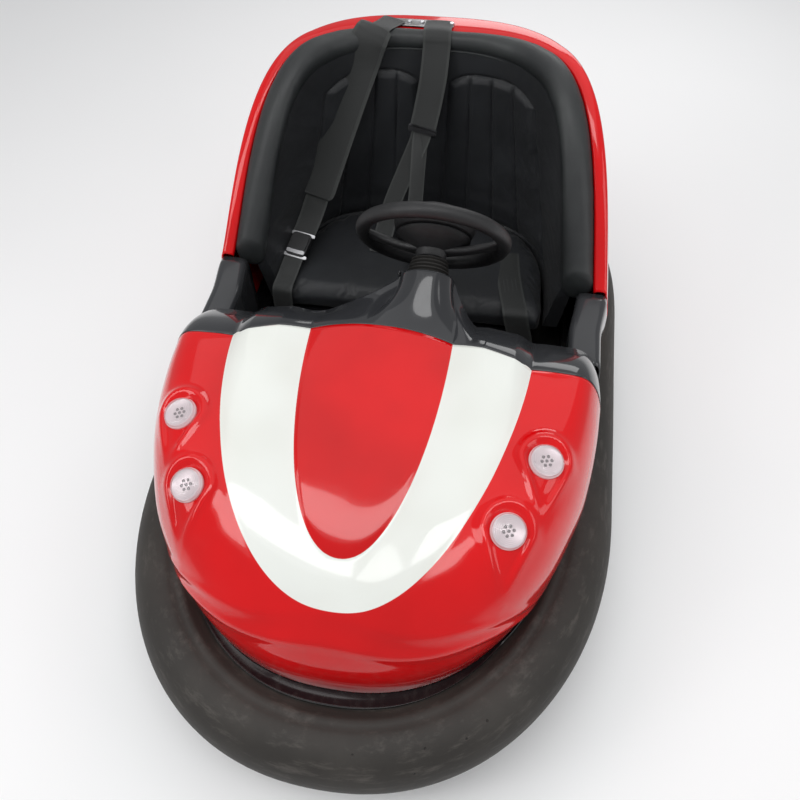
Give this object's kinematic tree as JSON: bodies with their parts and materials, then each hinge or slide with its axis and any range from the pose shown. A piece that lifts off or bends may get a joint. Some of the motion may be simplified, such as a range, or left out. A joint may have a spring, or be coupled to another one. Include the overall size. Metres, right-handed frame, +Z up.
{
  "type": "bumper car",
  "caption": "Two-seat fairground bumper car: fibreglass body on a steel frame inside a rubber bumper ring, with a steered drive wheel in front and plain wheels behind.",
  "frame": {"origin": "centre of the car's footprint on the floor", "axes": "+Z up, the front faces -Y, the driver's left is +X"},
  "size_m": [1.15, 1.98, 0.9276],
  "materials": {
    "red_gelcoat": "gloss red fibreglass gelcoat",
    "grey_gelcoat": "gloss dark grey gelcoat",
    "black_gelcoat": "gloss black gelcoat",
    "bumper_rubber": "scuffed dark rubber",
    "black_vinyl": "grained black vinyl",
    "frame_paint": "satin black paint on steel",
    "steel": "plain steel",
    "tyre_rubber": "solid rubber",
    "mat_rubber": "ribbed rubber",
    "wheel_plastic": "moulded black plastic",
    "lamp_lens": "clear lens over small lamps",
    "battery_case": "dark battery case",
    "webbing": "black woven seat belt webbing",
    "chrome": "chrome plated buckle"
  },
  "bodies": {
    "chassis": {"chassis_frame": "frame_paint", "floor_pan": "frame_paint", "bumper_rail": "frame_paint", "bumper_tube": "bumper_rubber", "deck_ledge": "black_gelcoat", "floor_mat": "mat_rubber", "front_shell": "red_gelcoat", "cowl": "grey_gelcoat", "sill_left": "grey_gelcoat", "sill_right": "grey_gelcoat", "rear_shell": "red_gelcoat", "lamp_left_rear": "lamp_lens", "lamp_left_front": "lamp_lens", "lamp_right_rear": "lamp_lens", "lamp_right_front": "lamp_lens", "seat_base": "black_gelcoat", "battery_block": "battery_case", "seat_cushion": "black_vinyl", "backrest": "black_vinyl", "coaming_roll": "black_vinyl", "pedal_bracket": "frame_paint", "accelerator_pedal": "steel", "column_boot": "mat_rubber", "drive_bridge": "frame_paint", "rear_axle": "steel", "belt_anchor": "steel", "belt_shoulder_right": "webbing", "belt_pad": "webbing", "belt_buckle": "chrome", "belt_lap_right": "webbing", "belt_shoulder_middle": "webbing", "belt_slider": "steel", "belt_tails": "webbing", "belt_lap_left": "webbing"},
    "drive_unit": {"drive_fork": "frame_paint", "drive_motor": "steel"},
    "drive_wheel": {"drive_tyre": "tyre_rubber", "drive_rim": "steel"},
    "steering": {"steering_wheel": "wheel_plastic", "wheel_pad": "wheel_plastic", "steering_shaft": "steel"},
    "rear_wheel_left": {"rear_left_tyre": "tyre_rubber", "rear_left_rim": "steel"},
    "rear_wheel_right": {"rear_right_tyre": "tyre_rubber", "rear_right_rim": "steel"}
  },
  "joints": [
    {"name": "drive_unit_turn", "type": "hinge", "parent": "chassis", "child": "drive_unit", "pos_m": [0, -0.45, 0.34], "axis": [0, 0, 1], "range_deg": [-180, 180]},
    {"name": "steering_wheel_turn", "type": "hinge", "parent": "chassis", "child": "steering", "pos_m": [0.078, 0.085, 0.722], "axis": [0, 0.8746, 0.4848], "range_deg": [-180, 180]},
    {"name": "drive_wheel_roll", "type": "hinge", "parent": "drive_unit", "child": "drive_wheel", "pos_m": [0, -0.45, 0.11], "axis": [1, 0, 0], "continuous": true},
    {"name": "rear_wheel_left_roll", "type": "hinge", "parent": "chassis", "child": "rear_wheel_left", "pos_m": [0.3, 0.62, 0.075], "axis": [1, 0, 0], "continuous": true},
    {"name": "rear_wheel_right_roll", "type": "hinge", "parent": "chassis", "child": "rear_wheel_right", "pos_m": [-0.3, 0.62, 0.075], "axis": [1, 0, 0], "continuous": true}
  ],
  "couplings": [
    {"joint": "steering_wheel_turn", "follows": "drive_unit_turn", "ratio": 1}
  ]
}
